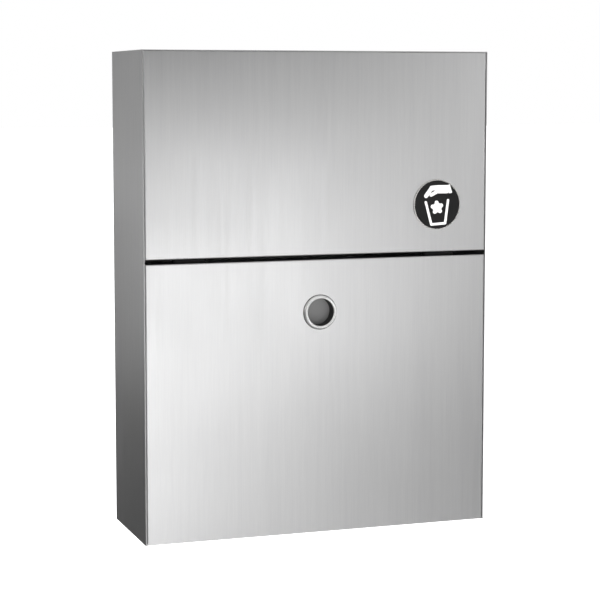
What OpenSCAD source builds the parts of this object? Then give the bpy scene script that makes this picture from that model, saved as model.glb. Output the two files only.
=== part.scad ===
// Surface-mounted hygiene waste receptacle in folded stainless sheet: a push flap above a
// tilt-out door that carries a moulded container. X is across the front, the wall is the plane
// Y = 0, the front faces -Y, and the origin is the centre of the four wall screw holes.

/* [Cabinet] */
// Overall width
cab_w = 287; // [239:1:345]
// Overall height
cab_h = 384; // [320:1:461]
// Overall depth, from the wall to the front
cab_d = 100; // [83:1:120]
// Sheet thickness of every folded panel
sheet = 0.8; // [0.6:0.01:1.2]
// Outer radius of the two vertical folds at the back
back_fold_r = 2; // [1.5:0.1:4]
// Height of the welding flanges of the top and the floor
flange_h = 8; // [6:1:10]
// Diameter of the wall screw holes
screw_hole_d = 6.5; // [4.5:0.1:8]
// Distance of the wall screw holes from the side faces
screw_inset_x = 38; // [25:1:60]
// Distance of the wall screw holes from the top and bottom faces
screw_inset_z = 48; // [35:1:70]

/* [Front panels] */
// Height of the door's face
door_h = 219.4; // [190:0.1:240]
// Open gap between the door and the flap
front_gap = 3.5; // [3:0.1:5]
// Gap beside the door and the flap
side_gap = 0.25; // [0.2:0.05:1]
// Gap above the flap
top_gap = 0.3; // [0.2:0.05:1]
// Height of the door's lower edge above the cabinet's bottom face
foot_gap = 0.3; // [0.2:0.05:0.8]
// Height of the hem along the door's upper edge
door_hem = 10; // [6:0.5:12]
// Depth of the door's folded side edges, from the front
door_return = 10.7; // [9:0.1:13]
// Depth of the flap's folded side edges, from the front
flap_return = 12; // [9:0.1:13]
// Depth of the flange at the flap's lower edge, from the front
flap_flange = 15; // [13:0.1:18]
// Width of the two stop tabs under that flange
tab_w = 20; // [12:1:30]
// Distance of the stop tabs from the middle
tab_x = 105; // [80:1:115]
// Outer radius of the folds at the front
fold_r = 1; // [0.9:0.1:2]
// Opening angle of the flap
flap_open = 30; // [20:1:32]
// Opening angle of the door
door_open = 45; // [30:1:50]

/* [Hinges] */
// Outer diameter of the knuckles
knuckle_d = 3.8; // [3.4:0.1:4.6]
// Diameter of the hinge pins
pin_d = 2.2; // [1.8:0.1:2.4]
// Thickness of the hinge leaves
leaf_t = 0.8; // [0.6:0.1:1]
// Width of the hinge leaves, from the pin
leaf_w = 17; // [14:1:22]
// Distance of the hinge ends from the side faces
hinge_inset = 8.5; // [8:0.5:20]
// Wire diameter of the flap's torsion springs
spring_wire = 0.7; // [0.5:0.1:0.8]
// Turns of each torsion spring
spring_turns = 8; // [5:1:10]

/* [Lock] */
// Distance of the lock below the door's upper edge
lock_drop = 41.8; // [36:0.1:55]
// Outer diameter of the lock's bezel
bezel_d = 27.2; // [26:0.1:32]
// Diameter at the bezel's crest
crest_d = 24.5; // [24:0.1:26]
// Inner diameter of the recess
recess_d = 22; // [20:0.1:22.4]
// Depth of the recess, from the crest to the plug
recess_depth = 11; // [9:0.5:12]
// Height of the bezel's crest above the door
bezel_h = 3; // [2:0.1:4]
// Outer diameter of the lock's barrel
barrel_d = 24; // [23.6:0.1:25]
// Diameter of the plug behind its face
plug_d = 16; // [12:0.5:18]
// Thickness of the cam
cam_t = 2; // [1.5:0.1:2.5]
// Width of the cam's arm
cam_w = 14; // [10:0.5:17]
// Overlap of the locked cam behind its keeper
cam_catch = 6; // [4:0.5:7]
// Distance of the keeper behind the front
keeper_set = 16.5; // [15:0.1:20]

/* [Rail] */
// Height of the down-turned edge behind the shelf
shelf_edge = 10; // [6:0.5:12]
// Rubber on each face of the shelf's front edge
trim_wall = 0.8; // [0.6:0.1:1.2]
// Depth of the rubber edge
trim_d = 3.2; // [2.5:0.1:3.4]
// Depth of the flap's two bumpers, from front to back
bumper_d = 8; // [6:0.5:8]
// Length of the bumpers, which hide the stop tabs behind them
bumper_l = 26; // [22:1:32]

/* [Badge] */
// Outer diameter of the badge with its rim
badge_d = 40.6; // [30:0.1:50]
// Width of the badge's rim
badge_rim_w = 0.8; // [0.6:0.1:2]
// Distance of the badge's centre from the right side face
badge_inset_x = 43.6; // [35:0.1:60]
// Distance of the badge's centre below the top face
badge_drop = 122.7; // [60:0.1:130]

/* [Container] */
// Wall thickness of the container
cont_wall = 2.2; // [1.8:0.1:3]
// Projection of the rim around the container's mouth
rim_w = 3.5; // [2:0.5:4]
// Distance of the rim from the inner face of the back
rim_to_back = 8; // [6:1:12]
// Draft of the container's back wall over its height
cont_draft = 4.5; // [2:0.5:8]
// Radius of the container's upright corners
cont_corner_r = 12; // [8:1:16]
// Height of the cradle's side cheeks
cheek_h = 40; // [25:1:60]
// Radius of the door stay's slot about the door hinge
stay_r = 75; // [62:1:80]

/* [Hidden] */
$fn = 64;
rest_gap = 0.3;      // clearance of a closed panel from its rubber stop
swing_clear = 0.5;   // clearance of edges that swing past each other
knuckle_clear = 0.3; // clearance of a knuckle from the sheet beside it
pin_fit = 0.05;      // radial clearance of turning fits
cut = 1;             // overshoot of cutting shapes
weld_root = 0.5;     // how far a knuckle or a lip is rooted in its own sheet
edge_clear = 1.5;    // clearance between fixed edges of neighbouring sheets
flange_start = 3;    // distance of a welding flange behind the folded edge before it
flange_relief = 6;   // distance of the back flange's ends from the side walls

// Faces of the cabinet
front = -cab_d;
skin_in = front + sheet;
wall_in = cab_w / 2 - sheet;
roof_z = cab_h - sheet;

// Hinge axes
pin_off = knuckle_d / 2 + knuckle_clear;
pin_y = skin_in + pin_off;
door_pin_z = sheet + pin_off;
flap_pin_z = roof_z - pin_off;
hinge_l = cab_w - 2 * hinge_inset;
n_seg = 13;
seg_l = hinge_l / n_seg;
seg_gap = 0.4;
leaf_start = pin_off + knuckle_clear;
spring_segs = [3, 9];
fixed_segs = [for (i = [0:2:n_seg - 1]) i];
door_segs = [for (i = [1:2:n_seg - 2]) i];
flap_segs = [for (i = door_segs) if (len(search(i, spring_segs)) == 0) i];

// Door and flap faces
panel_w = 2 * (wall_in - side_gap);
door_z0 = foot_gap;
door_z1 = door_z0 + door_h;
flap_z0 = door_z1 + front_gap;
flap_z1 = roof_z - top_gap;
door_corner_r = norm([pin_y - front, door_pin_z - door_z0]);
floor_front = pin_y + sqrt(pow(door_corner_r + swing_clear, 2) - pow(pin_off, 2));

// How far the flap's side edges swing in beside the top's flanges
ret_reach = flap_return - sheet - pin_off;
ret_low = (ret_reach * sin(flap_open) + flange_h) / cos(flap_open);
top_flange_front = pin_y + ret_reach * cos(flap_open) + ret_low * sin(flap_open) + flange_start;
flap_relief = (ret_reach * sin(flap_open) - pin_off + 2 * swing_clear) / cos(flap_open);

// Rail between the flap and the door: a shelf level with the door's upper edge
trim_r = 0.5;
trim_front = front + 2 * sheet + rest_gap;
rail_front = trim_front + trim_wall;
rail_top = door_z1 - trim_wall;
rail_under = rail_top - sheet;
rail_tab_y = front + door_return + edge_clear;
return_top = rail_under - trim_wall - swing_clear;
keeper_y = front + keeper_set;
keeper_back = keeper_y + sheet;
keeper_h = 12;
keeper_w = 44;
keeper_foot = 10;
keeper_bottom = rail_under - keeper_h;

// The flap's stop tabs and the bumpers they rest on
flap_tab_y = front + flap_flange - sheet;
flap_tab_z = rail_top + edge_clear;
bumper_y = flap_tab_y - rest_gap - bumper_d / 2;
bumper_h = flap_z0 - rail_top - 2 * swing_clear;
bumper_r = 2;
bumper_stem_d = 4;
bumper_stem_l = 3;

// Lock, along its axis: s is the distance in front of the door's face
lock_z = door_z1 - lock_drop;
bezel_edge = 0.8;
plug_face_s = bezel_h - recess_depth;
plug_head_t = 2;
cam_y = keeper_back + swing_clear;
barrel_back_s = front - (cam_y - swing_clear);
cam_l = keeper_bottom + cam_catch - lock_z;
cam_hub_d = 18;
square_w = 8;
washer_d = 12;
washer_t = 0.8;
screw_d = 5;
screw_l = 8;
screw_head_af = 8;
screw_head_h = 3;
screw_back = cam_y + cam_t + washer_t + screw_head_h;
backing_w = 56;
backing_t = 1.2;
nut_af = 30;
nut_t = 4;
hole_clear = 0.2;

// Door stays and their studs
stay_t = 1.2;
stay_half_w = 6;
stud_angle = 15;
stud_d = 5;
stud_head_d = 9;
stud_head_t = 1.4;
stud_base_d = 10;
stud_base_t = 0.8;
stud_clear = 5;
stay_end = stud_angle + door_open;
slot_end_clear = 1;
stay_margin = 9;
stay_foot_l = 40;
stay_x = panel_w / 2 - sheet - stay_t;
stud_head_x = stay_x - 2 * rest_gap - stud_head_t;
stud_y = pin_y + stay_r * sin(stud_angle);
stud_z = door_pin_z + stay_r * cos(stud_angle);

// Container: the rim's upper back corner passes under the keeper as the door swings out
lift_clear = 1;      // clearance of the container's rim from the shelf as it is lifted
rim_front = screw_back + lift_clear;
rail_back = rim_front - lift_clear;
rim_back = -sheet - rim_to_back;
rim_clear = 4;
keeper_corner_r = norm([keeper_back - pin_y, keeper_bottom - door_pin_z]);
cont_top = door_pin_z + sqrt(pow(keeper_corner_r - rim_clear, 2) - pow(rim_back - pin_y, 2));
cont_front = rim_front + rim_w;
cont_back = rim_back - rim_w;
cradle_z = door_pin_z + leaf_start;
cheek_x = stud_head_x - stud_clear;
cont_bottom = cradle_z + sheet + rest_gap;
cont_w = 2 * (cheek_x - sheet - edge_clear);

// Cradle
cradle_front = cont_front - rest_gap - sheet;
cradle_lip_h = 13;
lip_clear = 0.5;
cradle_lip_y = cont_back - cont_draft + lip_clear;
cradle_rise = 64;
cradle_flange = 24;
cradle_flange_w = panel_w - 60;
cradle_lip_inset = 8;
cheek_inset = 2;

// Badge
badge_x = cab_w / 2 - badge_inset_x;
badge_z = cab_h - badge_drop;
badge_t = 0.8;
rim_t = 1;
symbol_t = 0.3;

steel = [0.72, 0.72, 0.7];
inner_steel = [0.6, 0.6, 0.59];
rubber = [0.06, 0.06, 0.06];

// ---- helpers ----

// Moves a piece drawn with Z = 0 at the cabinet's bottom face into the part's frame.
module place() translate([0, 0, -cab_h / 2]) children();

// Extrudes a (Y, Z) outline along X, centred, l long.
module along_x(l) translate([-l / 2, 0, 0]) rotate([90, 0, 90]) linear_extrude(l) children();

// Turns local +Z to face the front, for round shapes on the lock's or the badge's axis.
module facing_front(x, y, z) translate([x, y, z]) rotate([90, 0, 0]) children();

module box(x0, x1, y0, y1, z0, z1) translate([x0, y0, z0]) cube([x1 - x0, y1 - y0, z1 - z0]);

// The same piece at both sides of the cabinet.
module both_sides() {
    children();
    mirror([1, 0, 0]) children();
}

// Rectangle from x0, y0 to x1, y1 with corner radii r = [x0y0, x1y0, x1y1, x0y1].
module rounded(x0, y0, x1, y1, r) {
    difference() {
        translate([x0, y0]) square([x1 - x0, y1 - y0]);
        if (r[0] > 0) corner_cut(x0, y0, 1, 1, r[0]);
        if (r[1] > 0) corner_cut(x1, y0, -1, 1, r[1]);
        if (r[2] > 0) corner_cut(x1, y1, -1, -1, r[2]);
        if (r[3] > 0) corner_cut(x0, y1, 1, -1, r[3]);
    }
}

// What a radius removes from a square corner at x, y; sx and sy point into the shape.
module corner_cut(x, y, sx, sy, r) {
    translate([x, y]) scale([sx, sy]) difference() {
        translate([-cut, -cut]) square(r + cut);
        translate([r, r]) circle(r);
    }
}

// ---- cabinet ----

// Plan of the cabinet, t inside its outer faces, with the two folds at the back.
module cabinet_plan(t, y0) {
    r = back_fold_r - t;
    rounded(-cab_w / 2 + t, y0, cab_w / 2 - t, -t, [0, 0, r, r]);
}

module cabinet_wrap() color(steel) place() difference() {
    linear_extrude(cab_h) cabinet_plan(0, front);
    translate([0, 0, -cut]) linear_extrude(cab_h + 2 * cut) cabinet_plan(sheet, front - cut);
    for (x = [-1, 1], z = [screw_inset_z, cab_h - screw_inset_z])
        translate([x * (cab_w / 2 - screw_inset_x), cut, z]) rotate([90, 0, 0])
            cylinder(d = screw_hole_d, h = sheet + 2 * cut);
}

// A flat end sheet of the cabinet with its folded flanges on top, from y0 back.
module end_sheet(y0, flange_y0) {
    linear_extrude(sheet) cabinet_plan(sheet, y0);
    both_sides() box(wall_in - sheet, wall_in, flange_y0, -sheet - back_fold_r, 0, flange_h);
    box(-wall_in + flange_relief, wall_in - flange_relief, -2 * sheet, -sheet, 0, flange_h);
}

module cabinet_top() color(steel) place()
    translate([0, 0, cab_h]) mirror([0, 0, 1]) end_sheet(front, top_flange_front);

module cabinet_floor() color(steel) place()
    end_sheet(floor_front, front + door_return + flange_start);

module cross_rail() color(inner_steel) place() {
    difference() {
        along_x(2 * wall_in) polygon([
            [rail_front, rail_under], [rail_front, rail_top], [rail_back, rail_top],
            [rail_back, rail_top - shelf_edge], [rail_back - sheet, rail_top - shelf_edge],
            [rail_back - sheet, rail_under]
        ]);
        at_bumpers() cylinder(d = bumper_stem_d, h = 2 * (sheet + cut), center = true);
    }
    both_sides() box(wall_in - sheet, wall_in, rail_tab_y, rail_back - 2 * sheet,
        rail_top - shelf_edge, rail_top);
}

// An L bracket under the shelf: the locked cam lies behind its upright.
module cam_keeper() color(inner_steel) place() along_x(keeper_w) polygon([
    [keeper_y, keeper_bottom], [keeper_y, rail_under - sheet],
    [keeper_y - keeper_foot, rail_under - sheet], [keeper_y - keeper_foot, rail_under],
    [keeper_back, rail_under], [keeper_back, keeper_bottom]
]);

module rail_edge_trim() color(rubber) place() along_x(2 * wall_in) difference() {
    rounded(trim_front, rail_under - trim_wall, trim_front + trim_d, rail_top + trim_wall,
        [trim_r, 0, 0, trim_r]);
    translate([rail_front, rail_under]) square([trim_d, sheet]);
}

module at_bumpers() both_sides() translate([tab_x, bumper_y, rail_top]) children();

module flap_bumpers() color(rubber) place() at_bumpers() {
    linear_extrude(bumper_h)
        rounded(-bumper_l / 2, -bumper_d / 2, bumper_l / 2, bumper_d / 2, bumper_r * [1, 1, 1, 1]);
    translate([0, 0, -bumper_stem_l])
        cylinder(d = bumper_stem_d - 2 * pin_fit, h = bumper_stem_l + cut);
}

// ---- hinges, drawn on the pin's axis with the leaf lying towards +Y and its sheet below ----

function seg_x(i) = -hinge_l / 2 + i * seg_l;

module hinge_leaf(segs) difference() {
    union() {
        box(-hinge_l / 2, hinge_l / 2, leaf_start, leaf_w, -pin_off, leaf_t - pin_off);
        for (i = segs) translate([seg_x(i) + seg_gap / 2, 0, 0]) {
            rotate([0, 90, 0]) cylinder(d = knuckle_d, h = seg_l - seg_gap);
            box(0, seg_l - seg_gap, 0, leaf_start + weld_root, -pin_off, leaf_t - pin_off);
        }
    }
    translate([-hinge_l / 2 - cut, 0, 0]) rotate([0, 90, 0])
        cylinder(d = pin_d + 2 * pin_fit, h = hinge_l + 2 * cut);
}

module hinge_pin() translate([-hinge_l / 2 + seg_gap / 2, 0, 0]) rotate([0, 90, 0])
    cylinder(d = pin_d, h = hinge_l - seg_gap);

module at_door_pin() place() translate([0, pin_y, door_pin_z]) children();
module at_flap_pin() place() translate([0, pin_y, flap_pin_z]) children();

module door_hinge_fixed_leaf() color(inner_steel) at_door_pin() hinge_leaf(fixed_segs);
module door_hinge_moving_leaf() color(inner_steel) at_door_pin()
    mirror([0, 1, 0]) rotate([90, 0, 0]) hinge_leaf(door_segs);
module door_hinge_pin() color(inner_steel) at_door_pin() hinge_pin();
module flap_hinge_fixed_leaf() color(inner_steel) at_flap_pin()
    mirror([0, 0, 1]) hinge_leaf(fixed_segs);
module flap_hinge_moving_leaf() color(inner_steel) at_flap_pin()
    rotate([-90, 0, 0]) hinge_leaf(flap_segs);
module flap_hinge_pin() color(inner_steel) at_flap_pin() hinge_pin();

// ---- torsion springs: one leg under the top, the coil on the pin, one leg down the flap ----

coil_r = (pin_off + pin_d / 2) / 2;
coil_end_clear = 1.25;
coil_l = seg_l - 2 * coil_end_clear;
leg_l = 13;
leg_r = pin_off - leaf_t - spring_wire / 2 - 3 * pin_fit;
leave = 60;
bend_s = (coil_r * sin(leave) - leg_r) / cos(leave);
coil_turn = 360 * spring_turns + 150;
coil_step = 30;
coil_sides = 6;

// Point of a straight leg in (Y, Z): leaves the coil on its tangent, then lies along +Y.
function leg(s) = s < 0.5
    ? [coil_r * cos(leave) + bend_s * sin(leave), leg_r]
    : [leg_l, leg_r];
function spring_route(x0) = concat(
    [for (s = [1, 0]) [x0, leg(s)[0], leg(s)[1]]],
    [for (a = [0:coil_step:coil_turn])
        [x0 + coil_l * a / coil_turn, coil_r * cos(leave + a), coil_r * sin(leave + a)]],
    [for (s = [0, 1]) [x0 + coil_l, -leg(s)[1], -leg(s)[0]]]
);

function unit(v) = v / norm(v);
function tangent(p, i) = unit(p[min(i + 1, len(p) - 1)] - p[max(i - 1, 0)]);
function ring(p, i) = let (t = tangent(p, i), n = unit(cross([1, 0, 0], t)), b = cross(t, n))
    [for (k = [0:coil_sides - 1]) let (a = 360 * k / coil_sides)
        p[i] + spring_wire / 2 * (cos(a) * n + sin(a) * b)];

// A round wire along the points p.
module wire(p) {
    n = coil_sides;
    last = len(p) - 1;
    polyhedron(
        points = [for (i = [0:last]) each ring(p, i)],
        faces = concat(
            [[for (k = [0:n - 1]) k]],
            [for (i = [0:last - 1], k = [0:n - 1])
                each [[i * n + k, (i + 1) * n + k, (i + 1) * n + (k + 1) % n],
                      [i * n + k, (i + 1) * n + (k + 1) % n, i * n + (k + 1) % n]]],
            [[for (k = [n - 1:-1:0]) last * n + k]]
        )
    );
}

module flap_spring(i) color(steel) at_flap_pin()
    wire(spring_route(seg_x(i) + coil_end_clear));
module flap_spring_left() flap_spring(spring_segs[0]);
module flap_spring_right() flap_spring(spring_segs[1]);

// ---- folded front panels ----

// A block w wide between z0 and z1, d deep from the front, with rounded folds at its sides and
// at its lower and upper edges where low and high say so; t sets it inside the skin.
module folded_block(z0, z1, d, t, low, high) {
    w = panel_w - 2 * t;
    r = fold_r - t;
    zl = z0 + (low ? t : -cut * t);
    zh = z1 + (high ? -t : cut * t);
    y0 = front + t;
    y1 = front + d + cut * t;
    intersection() {
        translate([0, 0, zl]) linear_extrude(zh - zl)
            rounded(-w / 2, y0, w / 2, y1, [r, r, 0, 0]);
        along_x(w) rounded(y0, zl, y1, zh, [low ? r : 0, 0, 0, high ? r : 0]);
    }
}

module door_panel() color(steel) place() difference() {
    union() {
        difference() {
            folded_block(door_z0, door_z1, door_return, 0, false, false);
            folded_block(door_z0, door_z1, door_return, sheet, false, false);
            box(-cab_w, cab_w, skin_in, 0, -cut, door_pin_z);
            box(-cab_w, cab_w, skin_in, 0, return_top, cab_h);
        }
        box(-panel_w / 2 + fold_r, panel_w / 2 - fold_r, skin_in, skin_in + sheet,
            door_z1 - door_hem, door_z1);
    }
    hem_round(door_z1);
    facing_front(0, 0, lock_z) cylinder(d = barrel_d + 2 * hole_clear, h = cab_d + cut);
}

// What rounds the doubled sheet of a hem at height z.
module hem_round(z) along_x(cab_w) {
    corner_cut(front, z, 1, -1, sheet);
    corner_cut(front + 2 * sheet, z, -1, -1, sheet);
}

module flap_panel() color(steel) place() {
    difference() {
        folded_block(flap_z0, flap_z1, flap_return, 0, true, false);
        folded_block(flap_z0, flap_z1, flap_return, sheet, true, false);
        box(-cab_w, cab_w, skin_in, 0, flap_pin_z - flap_relief, cab_h);
    }
    box(-panel_w / 2 + fold_r, panel_w / 2 - fold_r, front + flap_return, front + flap_flange,
        flap_z0, flap_z0 + sheet);
    both_sides() box(tab_x - tab_w / 2, tab_x + tab_w / 2, flap_tab_y, flap_tab_y + sheet,
        flap_tab_z, flap_z0 + sheet);
}

// ---- badge ----

module on_badge(s) place() facing_front(badge_x, front - s, badge_z) children();

module badge_disc() color([0.05, 0.05, 0.05]) on_badge(0)
    cylinder(d = badge_d - 2 * badge_rim_w, h = badge_t);

module badge_rim() color([0.85, 0.85, 0.82]) on_badge(0) difference() {
    cylinder(d = badge_d, h = rim_t);
    translate([0, 0, -cut]) cylinder(d = badge_d - 2 * badge_rim_w, h = rim_t + 2 * cut);
}

// A line from p to q with round ends.
module stroke(p, q, w) {
    translate(p) circle(d = w);
    translate(q) circle(d = w);
    translate(p) rotate(atan2(q[1] - p[1], q[0] - p[0]))
        translate([0, -w / 2]) square([norm(q - p), w]);
}

// An open basket seen from the side, in units of the disc's radius.
module basket_symbol() {
    stroke([-0.5, 0.14], [-0.31, -0.8], 0.1);
    stroke([-0.31, -0.8], [0.31, -0.8], 0.1);
    stroke([0.31, -0.8], [0.5, 0.14], 0.1);
}

// A wrapped bundle with five round lobes.
module bundle_symbol() translate([-0.01, -0.12]) rotate(20) {
    circle(0.2);
    for (a = [0:72:288]) rotate(a) translate([0.2, 0]) circle(d = 0.17);
}

// A hand from above: a flat wrist, a palm, fingers curving down to the left and a thumb.
module hand_symbol() {
    translate([0.6, 0.6]) rotate(14) square([0.12, 0.36], center = true);
    stroke([0.46, 0.6], [0.1, 0.63], 0.34);
    stroke([0.1, 0.7], [-0.2, 0.7], 0.2);
    stroke([-0.2, 0.7], [-0.47, 0.4], 0.17);
    stroke([0.04, 0.54], [-0.24, 0.42], 0.14);
}

module badge_pictogram() color([0.93, 0.93, 0.92]) on_badge(badge_t) rotate(4) {
    unit_r = badge_d / 2 - badge_rim_w;
    linear_extrude(symbol_t) scale([unit_r, unit_r]) basket_symbol();
    linear_extrude(symbol_t) scale([unit_r, unit_r]) bundle_symbol();
    linear_extrude(symbol_t) scale([unit_r, unit_r]) hand_symbol();
}

// ---- lock ----

module on_lock() place() facing_front(0, front, lock_z) children();

function quarter(n) = [for (i = [0:n]) 90 * i / n];

module lock_body() color([0.8, 0.8, 0.79]) on_lock() rotate_extrude() {
    rb = bezel_d / 2;
    rc = crest_d / 2;
    rr = recess_d / 2;
    seat_s = plug_face_s - plug_head_t - 2 * pin_fit;
    bore_r = plug_d / 2 + pin_fit;
    polygon(concat(
        [[barrel_d / 2, 0], [rb, 0]],
        [for (a = quarter(6)) [rc + (rb - rc) * cos(a), bezel_edge + (bezel_h - bezel_edge) * sin(a)]],
        [for (a = quarter(4)) [rc - (rc - rr) * sin(a), bezel_h - (rc - rr) * (1 - cos(a))]],
        [[rr, seat_s], [bore_r, seat_s], [bore_r, barrel_back_s], [barrel_d / 2, barrel_back_s]]
    ));
}

module lock_backing_plate() color(inner_steel) place() difference() {
    box(-backing_w / 2, backing_w / 2, skin_in, skin_in + backing_t,
        lock_z - backing_w / 2, lock_z + backing_w / 2);
    facing_front(0, 0, lock_z) cylinder(d = barrel_d + 2 * hole_clear, h = cab_d + cut);
}

module lock_nut() color([0.75, 0.73, 0.66]) on_lock()
    translate([0, 0, -sheet - backing_t - nut_t]) difference() {
        cylinder(d = nut_af / cos(30), h = nut_t, $fn = 6);
        translate([0, 0, -cut]) cylinder(d = barrel_d + 2 * pin_fit, h = nut_t + 2 * cut);
    }

module lock_plug() color([0.5, 0.5, 0.5]) on_lock() {
    head_s = plug_face_s - plug_head_t;
    cam_s = front - cam_y;
    difference() {
        union() {
            translate([0, 0, head_s]) cylinder(d = recess_d - 4 * pin_fit, h = plug_head_t);
            translate([0, 0, cam_s]) cylinder(d = plug_d, h = head_s - cam_s);
            translate([-square_w / 2, -square_w / 2, cam_s - cam_t])
                cube([square_w, square_w, cam_t]);
        }
        translate([0, 0, cam_s - cam_t - cut]) cylinder(d = screw_d + 2 * pin_fit, h = screw_l + cut);
    }
}

// The cam lies to the side: unlocked.
module lock_cam() color(inner_steel) on_lock()
    translate([0, 0, front - cam_y - cam_t]) difference() {
        union() {
            cylinder(d = cam_hub_d, h = cam_t);
            translate([0, -cam_w / 2, 0]) cube([cam_l, cam_w, cam_t]);
        }
        translate([-square_w / 2 - pin_fit, -square_w / 2 - pin_fit, -cut])
            cube([square_w + 2 * pin_fit, square_w + 2 * pin_fit, cam_t + 2 * cut]);
    }

module lock_cam_washer() color(inner_steel) on_lock()
    translate([0, 0, front - cam_y - cam_t - washer_t]) difference() {
        cylinder(d = washer_d, h = washer_t);
        translate([0, 0, -cut]) cylinder(d = screw_d + 2 * pin_fit, h = washer_t + 2 * cut);
    }

module lock_cam_screw() color(inner_steel) on_lock() translate([0, 0, front - screw_back]) {
    cylinder(d = screw_head_af / cos(30), h = screw_head_h, $fn = 6);
    cylinder(d = screw_d, h = screw_head_h + washer_t + screw_l - cut);
}

// ---- door stays and cradle ----

// An arc of half width hw about the door hinge, from a0 to a1 degrees back from upright.
module stay_arc(a0, a1, hw, t) rotate([0, 0, 90 - a1])
    rotate_extrude(angle = a1 - a0) translate([stay_r - hw, 0]) square([2 * hw, t]);

module stay_hole(a, t) rotate([0, 0, 90 - a]) translate([stay_r, 0, 0])
    cylinder(d = stud_d + 2 * hole_clear, h = t);

module door_stay() place() translate([stay_x, pin_y, door_pin_z]) rotate([90, 0, 90])
    difference() {
        union() {
            stay_arc(0, stay_end + stay_margin, stay_half_w, stay_t);
            translate([weld_root - pin_off, stay_r - stay_foot_l / 2, 0])
                cube([door_return - sheet - weld_root, stay_foot_l, stay_t]);
        }
        translate([0, 0, -cut]) {
            a0 = stud_angle - slot_end_clear;
            a1 = stay_end + slot_end_clear;
            stay_arc(a0, a1, stud_d / 2 + hole_clear, stay_t + 2 * cut);
            for (a = [a0, a1]) stay_hole(a, stay_t + 2 * cut);
        }
    }

module door_stay_right() color(inner_steel) door_stay();
module door_stay_left() color(inner_steel) mirror([1, 0, 0]) door_stay();

module door_stay_studs() color(inner_steel) place() both_sides()
    translate([stud_head_x, stud_y, stud_z]) rotate([0, 90, 0]) {
        cylinder(d = stud_head_d, h = stud_head_t);
        cylinder(d = stud_d, h = wall_in - stud_head_x);
        translate([0, 0, wall_in - stud_head_x - stud_base_t])
            cylinder(d = stud_base_d, h = stud_base_t);
    }

// One bent sheet: a flange on the door, a ledge, a front wall, the tray and a back lip.
module container_cradle() color(inner_steel) place() {
    z0 = cradle_z;
    y0 = cradle_front;
    top = z0 + cradle_rise;
    box(-cradle_flange_w / 2, cradle_flange_w / 2, skin_in, skin_in + sheet,
        top - sheet, top + cradle_flange);
    box(-cradle_flange_w / 2, cradle_flange_w / 2, skin_in, y0 + sheet, top - sheet, top);
    box(-cradle_flange_w / 2, cradle_flange_w / 2, y0, y0 + sheet, z0, top);
    box(-cheek_x, cheek_x, y0, cradle_lip_y + sheet, z0, z0 + sheet);
    box(-cheek_x + cradle_lip_inset, cheek_x - cradle_lip_inset, cradle_lip_y, cradle_lip_y + sheet,
        z0, z0 + cradle_lip_h);
    both_sides() box(cheek_x - sheet, cheek_x, y0 + cheek_inset, cradle_lip_y - cheek_inset,
        z0, z0 + cheek_h);
}

// ---- container ----

// The container's outline from the side between y0 and y1 at the mouth, with the back drafted.
module container_side(y0, y1, z0, z1) polygon([
    [y0, z0], [y0, z1], [y1, z1], [y1 - cont_draft * (z1 - z0) / (cont_top - cont_bottom), z0]
]);

module container_block(t, z0, z1) intersection() {
    along_x(cont_w - 2 * t) container_side(cont_front + t, cont_back - t, z0, z1);
    translate([0, 0, z0]) linear_extrude(z1 - z0) container_plan(-t);
}

// Plan of the container grown by g.
module container_plan(g) {
    r = cont_corner_r + g;
    rounded(-cont_w / 2 - g, cont_front - g, cont_w / 2 + g, cont_back + g, [r, r, r, r]);
}

module waste_container() color([0.35, 0.36, 0.37]) place() difference() {
    union() {
        container_block(0, cont_bottom, cont_top);
        translate([0, 0, cont_top - cont_wall]) linear_extrude(cont_wall) container_plan(rim_w);
    }
    container_block(cont_wall, cont_bottom + cont_wall, cont_top + cut);
}

cabinet_wrap();
cabinet_top();
cabinet_floor();
cross_rail();
rail_edge_trim();
cam_keeper();
flap_bumpers();
flap_hinge_fixed_leaf();
flap_hinge_pin();
flap_spring_left();
flap_spring_right();
door_hinge_fixed_leaf();
door_hinge_pin();
door_stay_studs();
flap_panel();
flap_hinge_moving_leaf();
badge_disc();
badge_rim();
badge_pictogram();
door_panel();
door_hinge_moving_leaf();
door_stay_left();
door_stay_right();
container_cradle();
lock_backing_plate();
lock_body();
lock_nut();
lock_plug();
lock_cam();
lock_cam_washer();
lock_cam_screw();
waste_container();
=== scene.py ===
import math

import bmesh
import bpy
from mathutils import Matrix, Vector


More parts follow.
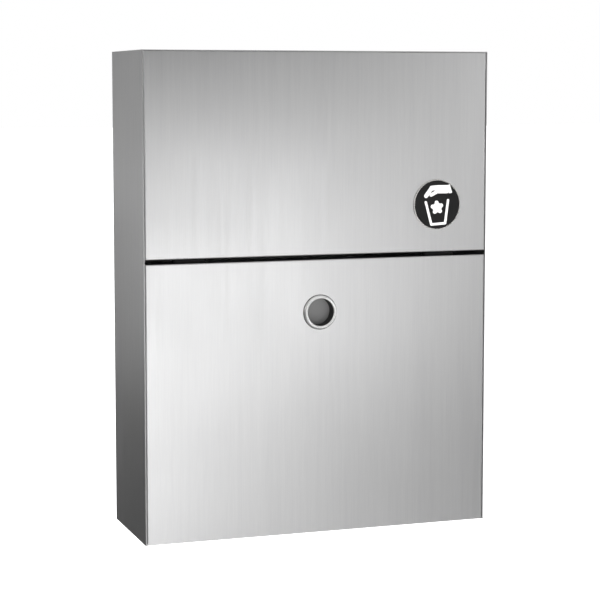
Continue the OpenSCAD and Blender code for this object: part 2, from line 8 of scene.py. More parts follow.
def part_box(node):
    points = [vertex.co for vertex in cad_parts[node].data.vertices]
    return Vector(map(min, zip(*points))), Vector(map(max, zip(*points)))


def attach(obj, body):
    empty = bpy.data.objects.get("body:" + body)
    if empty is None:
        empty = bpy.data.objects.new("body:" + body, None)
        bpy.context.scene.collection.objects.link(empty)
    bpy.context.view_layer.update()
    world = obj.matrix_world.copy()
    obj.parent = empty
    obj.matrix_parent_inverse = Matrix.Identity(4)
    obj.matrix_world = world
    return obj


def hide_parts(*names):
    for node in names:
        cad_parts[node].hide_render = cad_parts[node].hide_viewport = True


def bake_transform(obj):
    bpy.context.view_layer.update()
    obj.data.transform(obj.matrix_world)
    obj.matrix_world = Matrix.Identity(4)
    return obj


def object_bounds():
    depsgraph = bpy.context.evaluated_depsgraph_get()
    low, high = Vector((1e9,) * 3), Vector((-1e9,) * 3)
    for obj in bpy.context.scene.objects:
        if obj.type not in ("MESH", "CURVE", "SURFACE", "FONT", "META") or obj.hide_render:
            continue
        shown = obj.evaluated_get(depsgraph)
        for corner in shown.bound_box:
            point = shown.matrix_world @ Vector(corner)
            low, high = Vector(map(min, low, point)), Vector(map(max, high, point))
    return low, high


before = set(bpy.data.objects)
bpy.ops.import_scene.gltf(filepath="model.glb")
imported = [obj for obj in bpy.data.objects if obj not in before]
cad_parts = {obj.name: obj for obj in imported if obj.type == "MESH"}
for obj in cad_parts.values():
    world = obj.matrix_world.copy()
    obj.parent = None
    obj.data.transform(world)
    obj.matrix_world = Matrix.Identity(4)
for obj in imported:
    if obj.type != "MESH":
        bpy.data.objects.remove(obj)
cad_low, cad_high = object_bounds()

MM = 0.001
SHEET = 0.8 * MM
LEAF = 0.8 * MM
BORE_RADIUS = 11.0 * MM

# ---- places taken from the frame ----

door_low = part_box("door_panel")[0]
bezel_low, bezel_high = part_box("lock_body")
lock_centre = (bezel_low + bezel_high) / 2
disc_low, disc_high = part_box("badge_disc")
badge_centre = (disc_low + disc_high) / 2
pin_low, pin_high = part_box("flap_hinge_pin")
flap_pin = (pin_low + pin_high) / 2


# ---- shader groups ----

class Graph:
    """Adds nodes to a tree and links them; a socket, a number or a tuple may feed any input."""

    def __init__(self, tree):
        self.tree = tree

    def add(self, kind, inputs=None, **settings):
        node = self.tree.nodes.new(kind)
        for key, value in settings.items():
            setattr(node, key, value)
        for key, value in (inputs or {}).items():
            self.feed(node.inputs[key], value)
        return node

    def feed(self, socket, value):
        if isinstance(value, bpy.types.NodeSocket):
            self.tree.links.new(value, socket)
        else:
            socket.default_value = value

    def math(self, operation, a, b=0.0):
        return self.add("ShaderNodeMath", {0: a, 1: b}, operation=operation).outputs[0]

    def vector(self, operation, a, b=(0, 0, 0)):
        node = self.add("ShaderNodeVectorMath", {0: a, 1: b}, operation=operation)
        return node.outputs["Value" if operation == "LENGTH" else "Vector"]

    def spread(self, value, low, high, to_low=0.0, to_high=1.0):
        node = self.add("ShaderNodeMapRange", {
            "Value": value, "From Min": low, "From Max": high, "To Min": to_low, "To Max": to_high})
        return node.outputs["Result"]

    def noise(self, vector, scale, detail=2.0, roughness=0.5):
        node = self.add("ShaderNodeTexNoise", {
            "Vector": vector, "Scale": scale, "Detail": detail, "Roughness": roughness})
        return node.outputs["Fac"]

    def blend(self, factor, a, b):
        node = self.add("ShaderNodeMix", {0: factor, 6: a, 7: b}, data_type="RGBA")
        return node.outputs[2]


def new_group(name, inputs, outputs):
    """A shader group with float inputs {name: default} and float outputs; gives its graph and ends."""
    tree = bpy.data.node_groups.new(name, "ShaderNodeTree")
    for label, default in inputs.items():
        socket = tree.interface.new_socket(label, in_out="INPUT", socket_type="NodeSocketFloat")
        socket.default_value = default
    for label in outputs:
        tree.interface.new_socket(label, in_out="OUTPUT", socket_type="NodeSocketFloat")
    graph = Graph(tree)
    return tree, graph, graph.add("NodeGroupInput"), graph.add("NodeGroupOutput")


def make_belt_grain():
    """Long fine scratches of a grinding belt: upright on the walls, across on level faces."""
    tree, g, given, out = new_group(
        "belt_grain", {"Lines per metre": 1500.0, "Stretch": 70.0}, ["Tone", "Height", "Streak"])
    place = g.add("ShaderNodeTexCoord")
    point = g.add("ShaderNodeSeparateXYZ", {0: place.outputs["Object"]})
    facing = g.add("ShaderNodeSeparateXYZ", {0: place.outputs["Normal"]})
    level = g.math("GREATER_THAN", g.math("ABSOLUTE", facing.outputs["Z"]), SQUARE_ON)
    upright = g.math("SUBTRACT", 1.0, level)
    short = g.math("DIVIDE", 1.0, given.outputs["Stretch"])
    along_z = g.math("ADD", g.math("MULTIPLY", upright, short), level)
    along_x = g.math("ADD", g.math("MULTIPLY", level, short), upright)
    lines = g.add("ShaderNodeCombineXYZ", {
        "X": g.math("MULTIPLY", point.outputs["X"], along_x),
        "Y": point.outputs["Y"],
        "Z": g.math("MULTIPLY", point.outputs["Z"], along_z)}).outputs["Vector"]
    fine = g.noise(lines, given.outputs["Lines per metre"], 3.0, 0.65)
    broad = g.noise(lines, g.math("MULTIPLY", given.outputs["Lines per metre"], BROAD_LINES), 2.0, 0.55)
    g.feed(out.inputs["Tone"], g.math(
        "ADD", g.math("MULTIPLY", fine, FINE_SHARE), g.math("MULTIPLY", broad, 1.0 - FINE_SHARE)))
    g.feed(out.inputs["Height"], fine)
    g.feed(out.inputs["Streak"], broad)
    return tree


def make_sheared_edge():
    """Where a sheet was cut: the fixed sheets' edges that face the front."""
    tree, g, given, out = new_group("sheared_front_edge", {"Start": SQUARE_ON}, ["Mask"])
    facing = g.add("ShaderNodeSeparateXYZ", {0: g.add("ShaderNodeTexCoord").outputs["Normal"]})
    ahead = g.math("MULTIPLY", facing.outputs["Y"], -1.0)
    g.feed(out.inputs["Mask"], g.math("GREATER_THAN", ahead, given.outputs["Start"]))
    return tree


def reach_from_axis(g, given, place):
    """How far a point is from the line along Y through the group's axis point."""
    axis = g.add("ShaderNodeCombineXYZ", {
        "X": given.outputs["Axis X"], "Z": given.outputs["Axis Z"]}).outputs["Vector"]
    return g.vector("LENGTH", g.vector("MULTIPLY", g.vector("SUBTRACT", place, axis), (1, 0, 1)))


def make_bore_shade():
    """Painted shade for the lock's recess: a mask over everything nearer its axis than the crest and behind
    it.
    """
    tree, g, given, out = new_group(
        "lock_bore_shade",
        {"Axis X": 0.0, "Axis Z": 0.0, "Radius": BORE_RADIUS, "Crest Y": bezel_low.y}, ["Mask"])
    place = g.add("ShaderNodeTexCoord").outputs["Object"]
    inside = g.math("LESS_THAN", reach_from_axis(g, given, place), given.outputs["Radius"])
    along = g.add("ShaderNodeSeparateXYZ", {0: place}).outputs["Y"]
    depth = g.math("SUBTRACT", along, given.outputs["Crest Y"])
    g.feed(out.inputs["Mask"], g.math("MULTIPLY", inside, g.spread(depth, *BORE_SHADE_DEPTHS)))
    return tree


def make_smudges():
    """Broad, faint differences in a wiped surface."""
    tree, g, given, out = new_group("wiped_smudges", {"Size": SMUDGE_SIZE}, ["Mask"])
    place = g.add("ShaderNodeTexCoord").outputs["Object"]
    scale = g.math("DIVIDE", 1.0, given.outputs["Size"])
    g.feed(out.inputs["Mask"], g.spread(g.noise(place, scale, 3.0, 0.5), *NOISE_MIDDLE))
    return tree


def make_turned_rings():
    """Concentric tool marks about the line along Y through the group's axis point."""
    tree, g, given, out = new_group(
        "turned_rings", {"Axis X": 0.0, "Axis Z": 0.0, "Rings per metre": 3500.0}, ["Tone"])
    place = g.add("ShaderNodeTexCoord").outputs["Object"]
    radius = g.add("ShaderNodeCombineXYZ", {"X": reach_from_axis(g, given, place)}).outputs["Vector"]
    g.feed(out.inputs["Tone"], g.noise(radius, given.outputs["Rings per metre"], 2.0, 0.6))
    return tree


def make_mould_texture():
    """The fine spark-eroded skin of moulded plastic or rubber."""
    tree, g, given, out = new_group("mould_texture", {"Grains per metre": 1500.0}, ["Height", "Tone"])
    place = g.add("ShaderNodeTexCoord").outputs["Object"]
    g.feed(out.inputs["Height"], g.noise(place, given.outputs["Grains per metre"], 2.0, 0.6))
    g.feed(out.inputs["Tone"], g.spread(g.noise(place, MOULD_CLOUDS, 2.0, 0.5), *NOISE_MIDDLE))
    return tree


SQUARE_ON = 0.7
BROAD_LINES = 0.22
FINE_SHARE = 0.6
SMUDGE_SIZE = 0.09
MOULD_CLOUDS = 60.0
BORE_SHADE_DEPTHS = (0.6 * MM, 2.0 * MM)
NOISE_MIDDLE = (0.3, 0.7)
NOISE_WIDE = (0.2, 0.8)

belt_grain = make_belt_grain()
sheared_edge = make_sheared_edge()
bore_shade = make_bore_shade()
wiped_smudges = make_smudges()
turned_rings = make_turned_rings()
mould_texture = make_mould_texture()


# ---- materials ----

def new_material(name, **constants):
    """A Principled material; constants are set on the shader's own sockets."""
    material = bpy.data.materials.new(name)
    material.use_nodes = True
    shader = material.node_tree.nodes["Principled BSDF"]
    for label, value in constants.items():
        shader.inputs[label.replace("_", " ")].default_value = value
    return material, Graph(material.node_tree), shader


def place_group(g, tree, **inputs):
    """Puts a shared group into a material, with that material's own values; gives its outputs."""
    node = g.add("ShaderNodeGroup")
    node.node_tree = tree
    for label, value in inputs.items():
        g.feed(node.inputs[label.replace("_", " ")], value)
    return node.outputs


def brushed_steel(name, dark, light, rough, grain_depth, lines=1500.0, stretch=70.0, anisotropic=0.5,
                  cut_edges=False):
    """Stainless sheet with a belt-ground finish between two tones, and duller edges where it was cut."""
    material, g, shader = new_material(name, Metallic=1.0, Anisotropic=anisotropic)
    grain = place_group(g, belt_grain, Lines_per_metre=lines, Stretch=stretch)
    smudge = place_group(g, wiped_smudges)["Mask"]
    colour = g.blend(g.spread(grain["Tone"], *NOISE_MIDDLE), dark, light)
    worn = g.math("MULTIPLY", smudge, WORN_ROUGHNESS)
    scratched = g.math("MULTIPLY", grain["Streak"], SCRATCH_ROUGHNESS)
    smoothest = rough - (WORN_ROUGHNESS + SCRATCH_ROUGHNESS) / 2
    roughness = g.math("ADD", g.math("ADD", worn, scratched), smoothest)
    if cut_edges:
        cut = place_group(g, sheared_edge)["Mask"]
        colour = g.blend(cut, colour, CUT_EDGE_TONE)
        roughness = g.math("ADD", roughness, g.math("MULTIPLY", cut, CUT_EDGE_ROUGHNESS))
    g.feed(shader.inputs["Base Color"], colour)
    g.feed(shader.inputs["Roughness"], roughness)
    bump = g.add("ShaderNodeBump", {
        "Height": grain["Height"], "Strength": 1.0, "Distance": grain_depth})
    g.feed(shader.inputs["Normal"], bump.outputs["Normal"])
    tangent = g.add("ShaderNodeTangent", direction_type="RADIAL", axis="Z")
    g.feed(shader.inputs["Tangent"], tangent.outputs["Tangent"])
    return material


def turned_metal(name, dark, light, rough, centre, metallic=1.0):
    """Lathe-turned metal with rings about the lock's or the badge's axis."""
    material, g, shader = new_material(name, Metallic=metallic)
    rings = place_group(g, turned_rings, Axis_X=centre.x, Axis_Z=centre.z)["Tone"]
    g.feed(shader.inputs["Base Color"], g.blend(g.spread(rings, *NOISE_MIDDLE), dark, light))
    g.feed(shader.inputs["Roughness"], g.spread(
        rings, *NOISE_WIDE, rough - RING_ROUGHNESS, rough + RING_ROUGHNESS))
    return material


def lock_steel(name, dark, light, rough):
    """Polished steel outside; behind its crest the recess wall has a near-black painted shade, and is
    rougher too.
    """
    material, g, shader = new_material(name, Metallic=1.0)
    rings = place_group(g, turned_rings, Axis_X=lock_centre.x, Axis_Z=lock_centre.z)["Tone"]
    # Painted shade: the recess wall behind the crest is coloured near black.
    bore_shade_mask = place_group(g, bore_shade, Axis_X=lock_centre.x, Axis_Z=lock_centre.z,
                       Radius=BORE_RADIUS + BORE_MARGIN, Crest_Y=bezel_low.y)["Mask"]
    polish = g.blend(g.spread(rings, *NOISE_MIDDLE), dark, light)
    g.feed(shader.inputs["Base Color"], g.blend(bore_shade_mask, polish, BORE_PAINTED_SHADE_TONE))
    g.feed(shader.inputs["Roughness"], g.math("ADD", rough, g.math("MULTIPLY", bore_shade_mask, BORE_ROUGHNESS)))
    return material


def moulded(name, dark, light, rough, depth, grains=1500.0, **constants):
    """Plastic or rubber with a fine mould texture."""
    material, g, shader = new_material(name, **constants)
    skin = place_group(g, mould_texture, Grains_per_metre=grains)
    g.feed(shader.inputs["Base Color"], g.blend(skin["Tone"], dark, light))
    g.feed(shader.inputs["Roughness"], g.spread(
        skin["Height"], *NOISE_WIDE, rough - SKIN_ROUGHNESS, rough + SKIN_ROUGHNESS))
    bump = g.add("ShaderNodeBump", {"Height": skin["Height"], "Strength": 1.0, "Distance": depth})
    g.feed(shader.inputs["Normal"], bump.outputs["Normal"])
    return material


PANEL_LINES = 1150.0
PANEL_STRETCH = 45.0
WORN_ROUGHNESS = 0.03
SCRATCH_ROUGHNESS = 0.06
CUT_EDGE_TONE = (0.54, 0.54, 0.54, 1)
CUT_EDGE_ROUGHNESS = 0.12
RING_ROUGHNESS = 0.04
SKIN_ROUGHNESS = 0.05
# Painted shade: the near-black colour of the lock's recess wall.
BORE_PAINTED_SHADE_TONE = (0.10, 0.10, 0.10, 1)
BORE_ROUGHNESS = 0.35
BORE_MARGIN = 0.1 * MM

satin_steel = brushed_steel(
    "satin_steel_upright_grain", (0.60, 0.60, 0.605, 1), (0.65, 0.65, 0.65, 1), 0.33, 0.004 * MM,
    PANEL_LINES, PANEL_STRETCH)
shell_steel = brushed_steel(
    "satin_steel_cut_edges", (0.585, 0.585, 0.59, 1), (0.655, 0.655, 0.655, 1), 0.33, 0.005 * MM,
    PANEL_LINES, PANEL_STRETCH, cut_edges=True)
inner_steel = brushed_steel(
    "mill_steel_inner", (0.50, 0.50, 0.50, 1), (0.56, 0.56, 0.555, 1), 0.42, 0.003 * MM)
pin_steel = brushed_steel(
    "drawn_pin_steel", (0.45, 0.45, 0.44, 1), (0.55, 0.55, 0.54, 1), 0.3, 0.002 * MM, 2500.0, 8.0, 0.0)
zinc_steel = brushed_steel(
    "zinc_plated_steel", (0.55, 0.56, 0.58, 1), (0.66, 0.66, 0.65, 1), 0.38, 0.003 * MM, 1800.0, 4.0, 0.0)
bezel_steel = lock_steel("polished_bezel_steel_painted_bore_shade", (0.86, 0.86, 0.85, 1), (0.94, 0.94, 0.93, 1), 0.3)
plug_metal = turned_metal(
    "turned_plug_metal", (0.25, 0.25, 0.25, 1), (0.29, 0.29, 0.29, 1), 0.6, lock_centre, metallic=0.2)
nut_brass = turned_metal(
    "machined_nut_brass", (0.62, 0.55, 0.38, 1), (0.74, 0.66, 0.46, 1), 0.3, lock_centre)
badge_black = moulded(
    "badge_black_print", (0.006, 0.006, 0.006, 1), (0.010, 0.010, 0.010, 1), 0.42, 0.001 * MM,
    Specular_IOR_Level=0.22)
badge_white = moulded(
    "badge_white_print", (0.95, 0.95, 0.94, 1), (0.98, 0.98, 0.97, 1), 0.45, 0.001 * MM)
badge_rim_metal = turned_metal(
    "badge_pale_rim", (0.74, 0.73, 0.71, 1), (0.84, 0.83, 0.81, 1), 0.25, badge_centre)
# Black rubber; it also paints the shadow around the lock's bezel.
edge_rubber = moulded(
    "black_edge_rubber", (0.008, 0.008, 0.008, 1), (0.014, 0.014, 0.014, 1), 0.65, 0.01 * MM,
    Specular_IOR_Level=0.3)
pail_plastic = moulded(
    "pail_grey_polyethylene", (0.115, 0.12, 0.125, 1), (0.145, 0.15, 0.155, 1), 0.5, 0.02 * MM, 1200.0)

FINISHES = {
    satin_steel: ["door_panel", "flap_panel"],
    shell_steel: ["cabinet_wrap", "cabinet_top", "cabinet_floor"],
    inner_steel: [
        "cross_rail", "cam_keeper", "flap_hinge_fixed_leaf", "flap_hinge_moving_leaf",
        "door_hinge_fixed_leaf", "door_hinge_moving_leaf", "door_stay_left", "door_stay_right",
        "door_stay_studs", "container_cradle", "lock_backing_plate"],
    pin_steel: ["flap_hinge_pin", "door_hinge_pin", "flap_spring_left", "flap_spring_right"],
    zinc_steel: ["lock_cam", "lock_cam_washer", "lock_cam_screw"],
    bezel_steel: ["lock_body"],
    plug_metal: ["lock_plug"],
    nut_brass: ["lock_nut"],
    badge_black: ["badge_disc"],
    badge_white: ["badge_pictogram"],
    badge_rim_metal: ["badge_rim"],
    edge_rubber: ["rail_edge_trim", "flap_bumpers"],
    pail_plastic: ["waste_container"],
}

for material, names in FINISHES.items():
    for name in names:
        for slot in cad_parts[name].material_slots:
            slot.material = material


# ---- moulded and bent pieces ----

def new_piece(name, bm, material, body):
    """Makes an object of a finished bmesh, with the body it rides on."""
    bmesh.ops.recalc_face_normals(bm, faces=bm.faces)
    mesh = bpy.data.meshes.new(name)
    bm.to_mesh(mesh)
    bm.free()
    mesh.materials.append(material)
    piece = bpy.data.objects.new(name, mesh)
    bpy.context.scene.collection.objects.link(piece)
    if body:
        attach(piece, body)
    return piece


def smooth_faces(piece, angle):
    """Rounded faces shade smoothly, and folds sharper than the angle stay crisp."""
    for face in piece.data.polygons:
        face.use_smooth = True
    piece.data.set_sharp_from_angle(angle=math.radians(angle))


def upright_edges(bm):
    """The edges of a block that run straight up."""
    return [e for e in bm.edges if abs((e.verts[0].co - e.verts[1].co).normalized().z) > NEARLY_UPRIGHT]


def pull_out(bm, edges):
    """Extrudes a loop of edges in place; gives the new vertices and the new loop."""
    moved = bmesh.ops.extrude_edge_only(bm, edges=edges)["geom"]
    verts = [g for g in moved if isinstance(g, bmesh.types.BMVert)]
    return verts, [g for g in moved if isinstance(g, bmesh.types.BMEdge)]


def turned_about_lock(outline):
    """A closed outline of (radius, y) points spun about the lock's axis."""
    bm = bmesh.new()
    verts = [bm.verts.new((lock_centre.x + r, y, lock_centre.z)) for r, y in outline]
    edges = [bm.edges.new(pair) for pair in zip(verts, verts[1:] + verts[:1])]
    bmesh.ops.spin(bm, geom=verts + edges, cent=(lock_centre.x, 0, lock_centre.z), axis=(0, 1, 0),
                   angle=math.tau, steps=TURNED_STEPS, use_merge=True, use_duplicate=False)
    bmesh.ops.remove_doubles(bm, verts=bm.verts, dist=0.001 * MM)
    return bm


def row_of(low, high, count):
    """Evenly spaced places between two ends."""
    return [low + (high - low) * i / (count - 1) for i in range(count)]


NEARLY_UPRIGHT = 0.95
TURNED_STEPS = 96

PAIL_RIM = 3.5 * MM
PAIL_LIP_CROWN = 0.6 * MM
PAIL_DRAFT = 4.5 * MM
PAIL_CORNER = 12.0 * MM
PAIL_CORNER_STEPS = 8
PAIL_FOOT = 4.0 * MM
PAIL_FOOT_STEPS = 5
PAIL_WALL = 1.6 * MM
# Each step of the rolled rim: how far out, and how far up or down.
PAIL_RIM_ROLL = (
    (0.5 * MM, 0.45 * MM), (1.3 * MM, 0.15 * MM), (1.2 * MM, -0.5 * MM), (0.4 * MM, -1.6 * MM))


def make_pail():
    """The moulded container: drafted back, rounded corners and foot, a rim that turns out and down."""
    low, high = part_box("waste_container")
    body_low = Vector((low.x + PAIL_RIM, low.y + PAIL_RIM, low.z))
    body_high = Vector((high.x - PAIL_RIM, high.y - PAIL_RIM, high.z - PAIL_LIP_CROWN))
    size, middle = body_high - body_low, (body_low + body_high) / 2
    bm = bmesh.new()
    bmesh.ops.create_cube(bm, size=1.0)
    bmesh.ops.scale(bm, verts=bm.verts, vec=size)
    bmesh.ops.translate(bm, verts=bm.verts, vec=middle)
    foot = [v for v in bm.verts if v.co.z < middle.z]
    bmesh.ops.translate(bm, verts=[v for v in foot if v.co.y > middle.y], vec=(0, -PAIL_DRAFT, 0))
    bmesh.ops.bevel(bm, geom=upright_edges(bm), offset=PAIL_CORNER, offset_type="OFFSET",
                    segments=PAIL_CORNER_STEPS, profile=0.5, affect="EDGES", material=-1)
    bm.faces.ensure_lookup_table()
    floor = min(bm.faces, key=lambda f: f.calc_center_median().z)
    bmesh.ops.bevel(bm, geom=list(floor.edges), offset=PAIL_FOOT, offset_type="OFFSET",
                    segments=PAIL_FOOT_STEPS, profile=0.5, affect="EDGES", material=-1)
    bm.faces.ensure_lookup_table()
    mouth = max(bm.faces, key=lambda f: f.calc_center_median().z)
    bmesh.ops.delete(bm, geom=[mouth], context="FACES_ONLY")
    loop = [e for e in bm.edges if e.is_boundary]
    for out, up in PAIL_RIM_ROLL:
        verts, loop = pull_out(bm, loop)
        wider = Vector(((size.x / 2 + out) / (size.x / 2), (size.y / 2 + out) / (size.y / 2), 1))
        bmesh.ops.scale(bm, verts=verts, vec=wider, space=Matrix.Translation(-middle))
        bmesh.ops.translate(bm, verts=verts, vec=(0, 0, up))
        size = Vector((size.x + 2 * out, size.y + 2 * out, size.z))
    pail = new_piece("moulded_pail", bm, pail_plastic, None)
    smooth_faces(pail, 50.0)
    wall = pail.modifiers.new("pail_wall", "SOLIDIFY")
    wall.thickness = PAIL_WALL
    wall.offset = -1.0
    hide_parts("waste_container")
    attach(pail, "container")


SPRING_WIRE = 0.7 * MM
SPRING_RADIUS = 1.65 * MM
SPRING_LEG = 0.9 * MM
SPRING_LEAVE = 60.0
SPRING_TURN = 360 * 8 + 150
SPRING_STEPS = 202
WIRE_SIDES = 12


def make_flap_spring(name):
    """A torsion spring on the hinge pin: one leg lies under the top, the other down the flap."""
    low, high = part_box(name)
    wire = SPRING_WIRE / 2
    start, end = low.x + wire, high.x - wire
    axis_y, axis_z = flap_pin.y, flap_pin.z
    turn = math.radians(SPRING_TURN)
    first = math.radians(SPRING_LEAVE)
    bm = bmesh.new()
    ring = bmesh.ops.create_circle(bm, cap_ends=False, radius=wire, segments=WIRE_SIDES)["verts"]
    bmesh.ops.rotate(bm, verts=ring, matrix=Matrix.Rotation(first, 3, "X"))
    bmesh.ops.translate(bm, verts=ring, vec=(
        start, axis_y + SPRING_RADIUS * math.cos(first), axis_z + SPRING_RADIUS * math.sin(first)))
    first_loop = list(bm.edges)
    coil = bmesh.ops.spin(
        bm, geom=list(bm.verts) + list(bm.edges), cent=(0, axis_y, axis_z), axis=(1, 0, 0),
        dvec=((end - start) / SPRING_STEPS, 0, 0), angle=turn, steps=SPRING_STEPS,
        use_merge=False, use_duplicate=False)
    last_loop = [g for g in coil["geom_last"] if isinstance(g, bmesh.types.BMEdge)]
    last = first + turn
    # One leg runs back under the top, and the other down behind the flap; goal is its end's y or z.
    for loop, x, angle, sign, goal in (
            (first_loop, start, first, -1, (high.y, None)),
            (last_loop, end, last, 1, (None, low.z))):
        heading = Vector((0, -math.sin(angle), math.cos(angle))) * sign
        bend = leg_bend(angle, sign, axis_y, axis_z, goal)
        verts, edges = pull_out(bm, loop)
        centre = sum((v.co for v in verts), Vector()) / len(verts)
        corner = Vector((x, bend[0], bend[1]))
        bmesh.ops.translate(bm, verts=verts, vec=corner - centre)
        tip = Vector((x, goal[0], bend[1])) if goal[0] is not None else Vector((x, bend[0], goal[1]))
        turned = heading.rotation_difference((tip - corner).normalized())
        half = heading.rotation_difference((heading + (tip - corner).normalized()).normalized())
        bmesh.ops.rotate(bm, verts=verts, cent=corner, matrix=half.to_matrix())
        verts, edges = pull_out(bm, edges)
        rest = (half.inverted() @ turned).to_matrix()
        bmesh.ops.rotate(bm, verts=verts, cent=corner, matrix=rest)
        bmesh.ops.translate(bm, verts=verts, vec=tip - corner)
        bmesh.ops.edgeloop_fill(bm, edges=edges)
    spring = new_piece(name + "_wire", bm, pin_steel, None)
    smooth_faces(spring, 60.0)
    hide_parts(name)
    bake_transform(spring)


def leg_bend(angle, sign, axis_y, axis_z, goal):
    """Where the wire that leaves the coil on its tangent meets the line of its straight leg."""
    at = Vector((axis_y + SPRING_RADIUS * math.cos(angle), axis_z + SPRING_RADIUS * math.sin(angle)))
    heading = Vector((-math.sin(angle), math.cos(angle))) * sign
    if goal[0] is not None:
        reach = (axis_z + SPRING_LEG - at.y) / heading.y
    else:
        reach = (axis_y - SPRING_LEG - at.x) / heading.x
    return at + heading * reach


BARREL_RADIUS = 12.0 * MM
BARREL_CHAMFER = 0.5 * MM
THREAD_PITCH = 1.0 * MM
THREAD_DEPTH = 0.45 * MM
THREAD_START = 3.0 * MM
THREAD_END = 0.6 * MM
PLUG_SEAT = 10.1 * MM
PLUG_BORE = 8.05 * MM
# The bezel's outline: radius, and how far it stands out from the door.
BEZEL_PROFILE = (
    (13.6 * MM, 0.0 * MM), (13.6 * MM, 0.7 * MM), (13.45 * MM, 1.3 * MM), (13.15 * MM, 2.1 * MM),
    (12.9 * MM, 2.6 * MM), (12.6 * MM, 2.88 * MM), (12.25 * MM, 3.0 * MM), (11.6 * MM, 2.97 * MM),
    (11.25 * MM, 2.8 * MM), (11.0 * MM, 2.5 * MM))


def make_lock_body():
    """The lock's turned body: a raised bezel with a flat crest, the plain recess, and a threaded barrel."""
    back = bezel_high.y
    face = door_low.y
    profile = [(r, face - s) for r, s in BEZEL_PROFILE]
    thread_start = face + THREAD_START
    turns = int((back - thread_start - THREAD_END) / THREAD_PITCH)
    ridges = []
    for i in range(turns):
        y = thread_start + i * THREAD_PITCH
        ridges += [(BARREL_RADIUS, y), (BARREL_RADIUS - THREAD_DEPTH, y + THREAD_PITCH / 2)]
    ridges += [(BARREL_RADIUS, thread_start + turns * THREAD_PITCH), (BARREL_RADIUS - BARREL_CHAMFER, back)]
    seat = face + PLUG_SEAT
    inside = [(BORE_RADIUS, seat), (PLUG_BORE, seat), (PLUG_BORE, back)]
    outline = list(reversed(inside)) + list(reversed(profile)) + [(BARREL_RADIUS, face)] + ridges
    body = new_piece("lock_body_turned", turned_about_lock(outline), bezel_steel, None)
    smooth_faces(body, 32.0)
    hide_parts("lock_body")
    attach(body, "door")


# Painted shadow: the sizes of the black ring around the lock's bezel.
SHADOW_RING_INNER = 13.3 * MM
SHADOW_RING_OUTER = 14.0 * MM
SHADOW_RING_THICK = 0.45 * MM
SHADOW_RING_CHAMFER = 0.2 * MM


def make_lock_shadow_ring():
    """A thin rubber washer between the bezel and the door, a little wider than the bezel; its black paints
    the shadow around the bezel's foot.
    """
    face = door_low.y
    outline = [
        (SHADOW_RING_INNER, face), (SHADOW_RING_INNER, face - SHADOW_RING_THICK),
        (SHADOW_RING_OUTER - SHADOW_RING_CHAMFER, face - SHADOW_RING_THICK), (SHADOW_RING_OUTER, face - SHADOW_RING_THICK / 2),
        (SHADOW_RING_OUTER, face)]
    shadow_ring = new_piece("lock_painted_shadow_ring", turned_about_lock(outline), edge_rubber, "door")
    smooth_faces(shadow_ring, 30.0)


WELD_HEIGHT = 0.16 * MM
WELD_RADIUS = 2.4 * MM
WELD_TOP_RADIUS = 0.72 * WELD_RADIUS
WELD_SIDES = 20
LEAF_WELD_END = 0.12
LEAF_WELDS = 9
LEAF_WELD_INSET = 4 * MM
CRADLE_WELD_END = 0.095
CRADLE_WELDS = 6
CRADLE_WELD_DROP = 9 * MM
PLATE_WELD_INSET = 5 * MM
KEEPER_WELD_END = 0.015


def make_weld_spots(name, body, points, facing):
    """Shallow round marks left by a spot welder, with a soft edge, facing the given way."""
    bm = bmesh.new()
    turn = Vector((0, 0, 1)).rotation_difference(Vector(facing)).to_matrix().to_4x4()
    for point in points:
        at = Matrix.Translation(point) @ turn
        bmesh.ops.create_cone(bm, cap_ends=True, segments=WELD_SIDES, radius1=WELD_RADIUS,
                              radius2=WELD_TOP_RADIUS, depth=WELD_HEIGHT, matrix=at)
    smooth_faces(new_piece(name, bm, inner_steel, body), 40.0)


def make_all_weld_spots():
    """Weld marks where the hinge leaves, the cradle, the lock's plate and the keeper are joined."""
    skin = door_low.y + SHEET
    along = row_of(-LEAF_WELD_END, LEAF_WELD_END, LEAF_WELDS)
    low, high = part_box("door_hinge_moving_leaf")
    spots = [Vector((x, skin + LEAF, high.z - LEAF_WELD_INSET)) for x in along]
    make_weld_spots("door_leaf_welds", "door", spots, (0, 1, 0))
    low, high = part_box("flap_hinge_moving_leaf")
    spots = [Vector((x, skin + LEAF, low.z + LEAF_WELD_INSET)) for x in along]
    make_weld_spots("flap_leaf_welds", "flap", spots, (0, 1, 0))
    low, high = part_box("flap_hinge_fixed_leaf")
    spots = [Vector((x, high.y - LEAF_WELD_INSET, high.z - LEAF)) for x in along]
    make_weld_spots("top_leaf_welds", "cabinet", spots, (0, 0, -1))
    low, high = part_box("door_hinge_fixed_leaf")
    spots = [Vector((x, high.y - LEAF_WELD_INSET, low.z + LEAF)) for x in along]
    make_weld_spots("floor_leaf_welds", "cabinet", spots, (0, 0, 1))
    low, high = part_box("container_cradle")
    along = row_of(-CRADLE_WELD_END, CRADLE_WELD_END, CRADLE_WELDS)
    spots = [Vector((x, skin + SHEET, high.z - CRADLE_WELD_DROP)) for x in along]
    make_weld_spots("cradle_welds", "door", spots, (0, 1, 0))
    low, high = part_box("lock_backing_plate")
    spots = [Vector((x, high.y, z)) for x in (low.x + PLATE_WELD_INSET, high.x - PLATE_WELD_INSET)
             for z in (low.z + PLATE_WELD_INSET, high.z - PLATE_WELD_INSET)]
    make_weld_spots("lock_plate_welds", "door", spots, (0, 1, 0))
    low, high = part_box("cam_keeper")
    spots = [Vector((x, low.y + PLATE_WELD_INSET, high.z - SHEET))
             for x in (-KEEPER_WELD_END, KEEPER_WELD_END)]
    make_weld_spots("keeper_welds", "cabinet", spots, (0, 0, -1))


make_pail()
make_flap_spring("flap_spring_left")
make_flap_spring("flap_spring_right")
make_lock_body()
make_lock_shadow_ring()
make_all_weld_spots()


# ---- studio ----

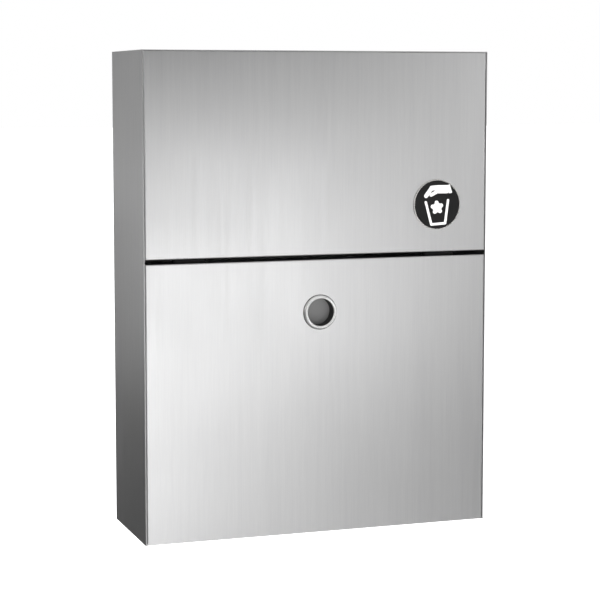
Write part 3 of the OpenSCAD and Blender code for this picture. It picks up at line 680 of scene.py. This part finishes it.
STUDIO = bpy.context.scene.collection
HANG_HEIGHT = 1.0
FLOOR_REACH = 60.0
SKY_ALL_ROUND = 0.08
SKY_CEILING = 0.9
SKY_GROUND = 0.5
SKY_RIGHT = 0.5
SKY_BACK_RIGHT = 0.7
SKY_FRONT_LEFT = 0.3
FRONT = (0, -0.1, 0)
LEFT_SIDE = (-0.14, -0.05, 0)
RIGHT_EDGE = (0.14, -0.1, 0)
PANEL_BOX = (0.4, 0.42)
SIDE_BOX = (0.35, 0.4)
CAMERA_PLACE = (-0.4916, -1.4744, 0.1630)
CAMERA_YAW = 19.06
CAMERA_PITCH = -5.618
CAMERA_LENS = 111.1
CAMERA_SENSOR = 36.0
CAMERA_SHIFT_UP = -0.05


def softbox(name, at, aim, size, power):
    """A flat lamp at one point that faces another; it isn't seen by the camera itself."""
    data = bpy.data.lights.new(name, "AREA")
    data.shape = "RECTANGLE"
    data.size, data.size_y = size
    data.energy = power
    lamp = bpy.data.objects.new(name, data)
    lamp.location = at
    lamp.rotation_euler = (Vector(aim) - Vector(at)).to_track_quat("-Z", "Y").to_euler()
    lamp.visible_camera = False
    STUDIO.objects.link(lamp)


def make_floor():
    """A wide pale floor, at the height that such a receptacle is hung above."""
    bm = bmesh.new()
    bmesh.ops.create_grid(bm, x_segments=1, y_segments=1, size=FLOOR_REACH)
    bmesh.ops.translate(bm, verts=bm.verts, vec=(0, 0, cad_low.z - HANG_HEIGHT))
    mesh = bpy.data.meshes.new("studio_floor")
    bm.to_mesh(mesh)
    bm.free()
    floor = bpy.data.objects.new("studio_floor", mesh)
    floor_paint, _, shader = new_material("pale_floor_paint", Roughness=0.9)
    shader.inputs["Base Color"].default_value = (0.9, 0.9, 0.9, 1)
    shader.inputs["Emission Color"].default_value = (1, 1, 1, 1)
    shader.inputs["Emission Strength"].default_value = 1.0
    mesh.materials.append(floor_paint)
    floor.visible_glossy = False
    STUDIO.objects.link(floor)


def make_sky():
    """White behind the object; what the metal reflects is a dim room with lighter walls and ceiling."""
    world = bpy.data.worlds.new("studio_surround")
    world.use_nodes = True
    bpy.context.scene.world = world
    g = Graph(world.node_tree)
    surround = world.node_tree.nodes["Background"]
    away = g.add("ShaderNodeSeparateXYZ", {0: g.add("ShaderNodeTexCoord").outputs["Generated"]}).outputs
    left, front, down = (g.math("MULTIPLY", away[axis], -1.0) for axis in "XYZ")
    back_right = g.math("MULTIPLY", g.spread(away["X"], 0.0, 0.5), g.spread(away["Y"], 0.1, 0.6))
    front_left = g.math("MULTIPLY", g.spread(left, 0.3, 0.7), g.spread(front, 0.1, 0.6))
    zones = (
        (g.spread(away["Z"], 0.25, 0.75), SKY_CEILING),
        (g.spread(down, 0.3, 0.8), SKY_GROUND),
        (g.spread(away["X"], 0.55, 0.95), SKY_RIGHT),
        (back_right, SKY_BACK_RIGHT),
        (front_left, SKY_FRONT_LEFT))
    tone = SKY_ALL_ROUND
    for mask, strength in zones:
        tone = g.math("ADD", tone, g.math("MULTIPLY", mask, strength))
    seen = g.add("ShaderNodeLightPath").outputs["Is Camera Ray"]
    g.feed(surround.inputs["Color"], (1, 1, 1, 1))
    g.feed(surround.inputs["Strength"], g.math("MAXIMUM", seen, tone))


make_floor()
make_sky()
softbox("key_low_left", (0.1, -1.9, -0.55), FRONT, PANEL_BOX, 2.25)
softbox("key_middle", (0.5, -1.9, -0.15), FRONT, PANEL_BOX, 1.65)
softbox("key_link", (0.1, -1.9, -0.15), FRONT, PANEL_BOX, 0.75)
softbox("fill_high_right", (1.4, -1.9, 0.25), FRONT, PANEL_BOX, 2.0)
softbox("fill_low_right", (0.9, -1.9, -1.0), FRONT, PANEL_BOX, 1.1)
softbox("side_far", (-2.2, 1.9, 0.15), LEFT_SIDE, SIDE_BOX, 4.4)
softbox("side_near", (-1.3, 1.9, -0.2), LEFT_SIDE, SIDE_BOX, 0.72)
softbox("side_high", (-0.45, 1.9, 0.15), LEFT_SIDE, SIDE_BOX, 0.15)
softbox("front_left_fill", (-1.7, -1.5, 0.5), FRONT, (0.7, 0.8), 5.0)
softbox("left_edge_fill", (-2.2, 0.0, 0.0), LEFT_SIDE, (0.5, 1.4), 2.0)
softbox("right_edge_fill", (2.4, -0.5, 0.0), RIGHT_EDGE, (0.6, 1.6), 6.0)
softbox("back_fill", (0.5, 2.4, 0.6), (0, 0, 0), (1.2, 1.2), 10.0)

camera_data = bpy.data.cameras.new("studio_camera")
camera_data.sensor_width = CAMERA_SENSOR
camera_data.lens = CAMERA_LENS
camera_data.shift_y = CAMERA_SHIFT_UP
camera = bpy.data.objects.new("studio_camera", camera_data)
camera.location = CAMERA_PLACE
camera.rotation_euler = (math.radians(90 + CAMERA_PITCH), 0, math.radians(-CAMERA_YAW))
STUDIO.objects.link(camera)
bpy.context.scene.camera = camera
bpy.context.scene.view_settings.view_transform = "Standard"
